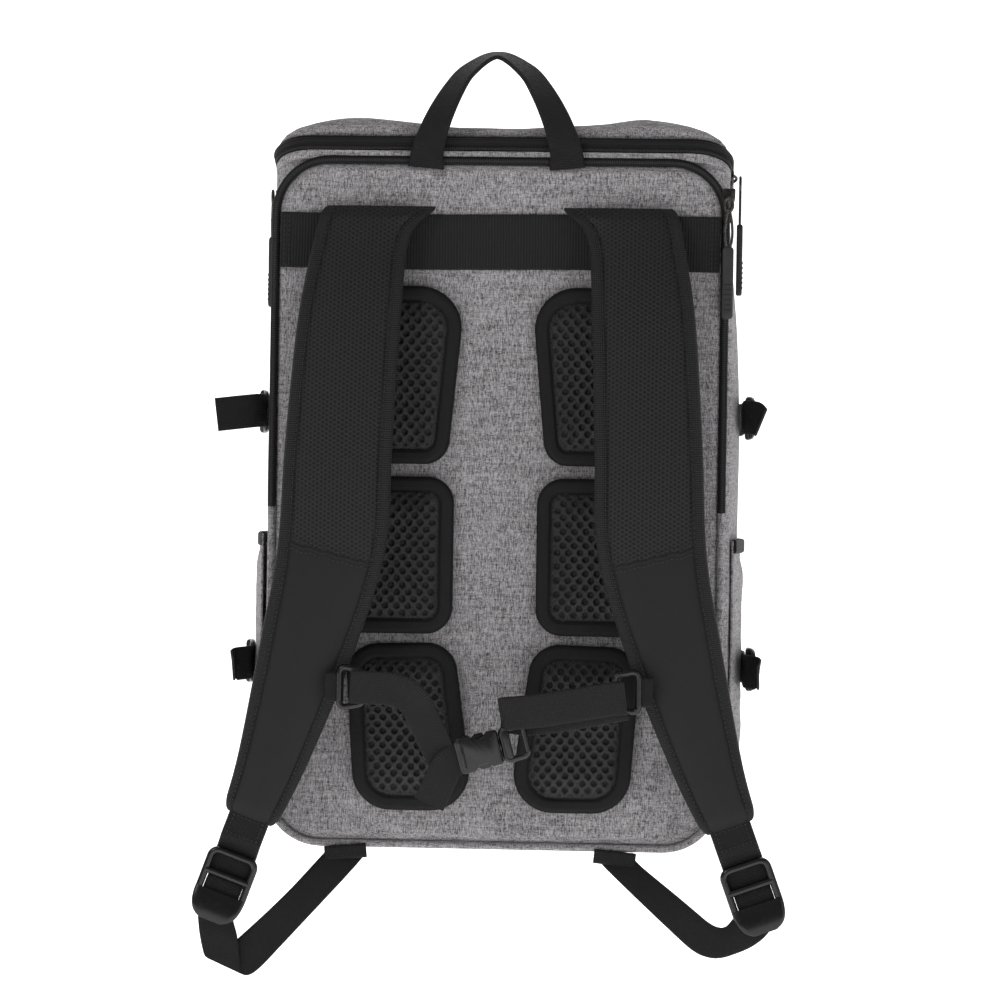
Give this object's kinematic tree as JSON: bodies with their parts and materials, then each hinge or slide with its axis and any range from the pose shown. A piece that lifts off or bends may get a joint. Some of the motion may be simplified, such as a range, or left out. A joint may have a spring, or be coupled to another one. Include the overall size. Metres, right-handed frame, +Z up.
{
  "type": "drone carrying backpack",
  "caption": "Padded drone carrying backpack with a zipped lid, grab handle, air-mesh back pads, buckled shoulder straps, side pockets and inner foam dividers.",
  "frame": {"origin": "middle of the underside of the base panel", "axes": "+Z up, +X to the right seen from the strap side, -Y towards the wearer's back, +Y towards the front pocket"},
  "size_m": [0.428, 0.2663, 0.6671],
  "materials": {
    "grey_heather_cloth": "matt heather weave",
    "black_lining": "matt weave",
    "stiff_sheet": "matt",
    "grey_foam": "matt brushed lining over foam",
    "air_mesh": "dimpled spacer mesh",
    "strap_cloth": "embossed weave",
    "dark_nickel": "dark polished",
    "black_rubber": "satin",
    "black_plastic": "satin",
    "black_webbing": "ribbed weave"
  },
  "bodies": {
    "bag": {"gusset_left": "grey_heather_cloth", "gusset_right": "grey_heather_cloth", "base_panel": "grey_heather_cloth", "front_panel": "grey_heather_cloth", "back_panel": "grey_heather_cloth", "panel_edge": "black_lining", "frame_sheet": "stiff_sheet", "sleeve_wall": "black_lining", "base_foam": "grey_foam", "foam_liner_left": "grey_foam", "foam_liner_right": "grey_foam", "foam_liner_front": "grey_foam", "divider_left": "grey_foam", "divider_right": "grey_foam", "divider_cross": "grey_foam", "body_zip_tape": "black_webbing", "trolley_band": "black_webbing", "air_pad_upper_left": "air_mesh", "air_pad_upper_right": "air_mesh", "air_pad_middle_left": "air_mesh", "air_pad_middle_right": "air_mesh", "air_pad_lower_left": "air_mesh", "air_pad_lower_right": "air_mesh", "side_pocket_left": "grey_heather_cloth", "side_pocket_right": "grey_heather_cloth", "side_web_upper_left": "black_webbing", "side_web_upper_right": "black_webbing", "side_web_lower_left": "black_webbing", "side_web_lower_right": "black_webbing", "side_lock_upper_left": "black_plastic", "side_lock_upper_right": "black_plastic", "side_lock_lower_left": "black_plastic", "side_lock_lower_right": "black_plastic", "front_pocket": "grey_heather_cloth", "lower_web_left": "black_webbing", "lower_web_right": "black_webbing"},
    "lid": {"lid_zip_band": "black_webbing", "lid_panel": "grey_heather_cloth"},
    "handle": {"grab_handle": "black_webbing"},
    "straps": {"strap_left": "strap_cloth", "strap_right": "strap_cloth", "ladder_lock_left": "black_plastic", "ladder_lock_right": "black_plastic", "chest_clip_left": "black_plastic", "chest_clip_right": "black_plastic", "chest_web_left": "black_webbing", "chest_web_right": "black_webbing", "buckle_socket": "black_plastic"},
    "plug": {"buckle_plug": "black_plastic"},
    "prong_upper": {"buckle_prong_upper": "black_plastic"},
    "prong_lower": {"buckle_prong_lower": "black_plastic"},
    "slider_lid_left": {"zip_slider_lid_left": "dark_nickel"},
    "pull_lid_left": {"zip_pull_lid_left": "black_rubber"},
    "slider_lid_right": {"zip_slider_lid_right": "dark_nickel"},
    "pull_lid_right": {"zip_pull_lid_right": "black_rubber"},
    "slider_rear": {"zip_slider_rear": "dark_nickel"},
    "pull_rear": {"zip_pull_rear": "black_rubber"},
    "slider_front": {"zip_slider_front": "dark_nickel"},
    "pull_front": {"zip_pull_front": "black_rubber"}
  },
  "joints": [
    {"name": "lid_hinge", "type": "hinge", "parent": "bag", "child": "lid", "pos_m": [0, 0.055, 0.44952], "axis": [-1, 0, 0], "range_deg": [0, 110]},
    {"name": "handle_fold", "type": "hinge", "parent": "bag", "child": "handle", "pos_m": [-0.003, -0.0953, 0.491], "axis": [1, 0, 0], "range_deg": [0, 70]},
    {"name": "straps_swing", "type": "hinge", "parent": "bag", "child": "straps", "pos_m": [0, -0.0974, 0.462], "axis": [-1, 0, 0], "range_deg": [0, 20], "deforming": ["lower_web_left", "lower_web_right"]},
    {"name": "buckle_slide", "type": "slide", "parent": "straps", "child": "plug", "axis": [0.9659, 0, 0.2588], "range_m": [0, 0.028], "deforming": ["chest_web_right"]},
    {"name": "prong_upper_squeeze", "type": "hinge", "parent": "plug", "child": "prong_upper", "pos_m": [0.00734, -0.1562, 0.08629], "axis": [0, -1, 0], "range_deg": [0, 5], "stiffness_Nm_per_rad": 0.05},
    {"name": "prong_lower_squeeze", "type": "hinge", "parent": "plug", "child": "prong_lower", "pos_m": [0.01116, -0.1562, 0.07199], "axis": [0, 1, 0], "range_deg": [0, 5], "stiffness_Nm_per_rad": 0.05},
    {"name": "slider_lid_left_run", "type": "slide", "parent": "bag", "child": "slider_lid_left", "axis": [0, 0.9397, -0.342], "range_m": [0, 0.06]},
    {"name": "slider_lid_right_run", "type": "slide", "parent": "bag", "child": "slider_lid_right", "axis": [0, 0.9397, -0.342], "range_m": [0, 0.09]},
    {"name": "slider_rear_run", "type": "slide", "parent": "bag", "child": "slider_rear", "axis": [0, 0, -1], "range_m": [0, 0.2]},
    {"name": "slider_front_run", "type": "slide", "parent": "bag", "child": "slider_front", "axis": [-1, 0, 0], "range_m": [0, 0.2]},
    {"name": "pull_lid_left_swing", "type": "hinge", "parent": "slider_lid_left", "child": "pull_lid_left", "pos_m": [-0.17285, -0.025, 0.47864], "axis": [0, 1, 0], "range_deg": [0, 90]},
    {"name": "pull_lid_right_swing", "type": "hinge", "parent": "slider_lid_right", "child": "pull_lid_right", "pos_m": [0.17285, -0.055, 0.48956], "axis": [0, -1, 0], "range_deg": [0, 90]},
    {"name": "pull_rear_swing", "type": "hinge", "parent": "slider_rear", "child": "pull_rear", "pos_m": [0.164, -0.10285, 0.47], "axis": [-1, 0, 0], "range_deg": [0, 80]},
    {"name": "pull_front_swing", "type": "hinge", "parent": "slider_front", "child": "pull_front", "pos_m": [0.1, 0.10285, 0.325], "axis": [1, 0, 0], "range_deg": [0, 80]}
  ],
  "couplings": [
    {"joint": "prong_lower_squeeze", "follows": "prong_upper_squeeze", "ratio": 1}
  ]
}
